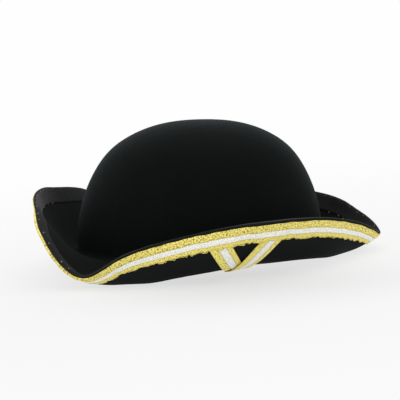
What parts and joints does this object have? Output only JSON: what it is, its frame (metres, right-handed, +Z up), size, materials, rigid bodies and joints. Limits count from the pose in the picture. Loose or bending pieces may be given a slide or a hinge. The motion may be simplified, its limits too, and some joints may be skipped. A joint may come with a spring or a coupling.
{
  "type": "tricorn hat",
  "caption": "Black felt tricorn hat with a round crown, a brim turned up into flaps that meet at corners, and striped gold and white lace along the rim with a V on one flap.",
  "frame": {"origin": "under the middle of the hat's box, on the surface that the brim rests on", "axes": "+Z up, -Y towards the front point, +X towards the wearer's left, so the middle of the back flap is at +Y"},
  "size_m": [0.2716, 0.2832, 0.1153],
  "materials": {
    "felt": "soft black wool felt with a short nap",
    "lace": "woven metallic lace, gold with a silver-white stripe along its middle"
  },
  "bodies": {
    "root": {"felt_body": "felt", "rim_lace": "lace", "flap_chevron": "lace"}
  },
  "joints": []
}
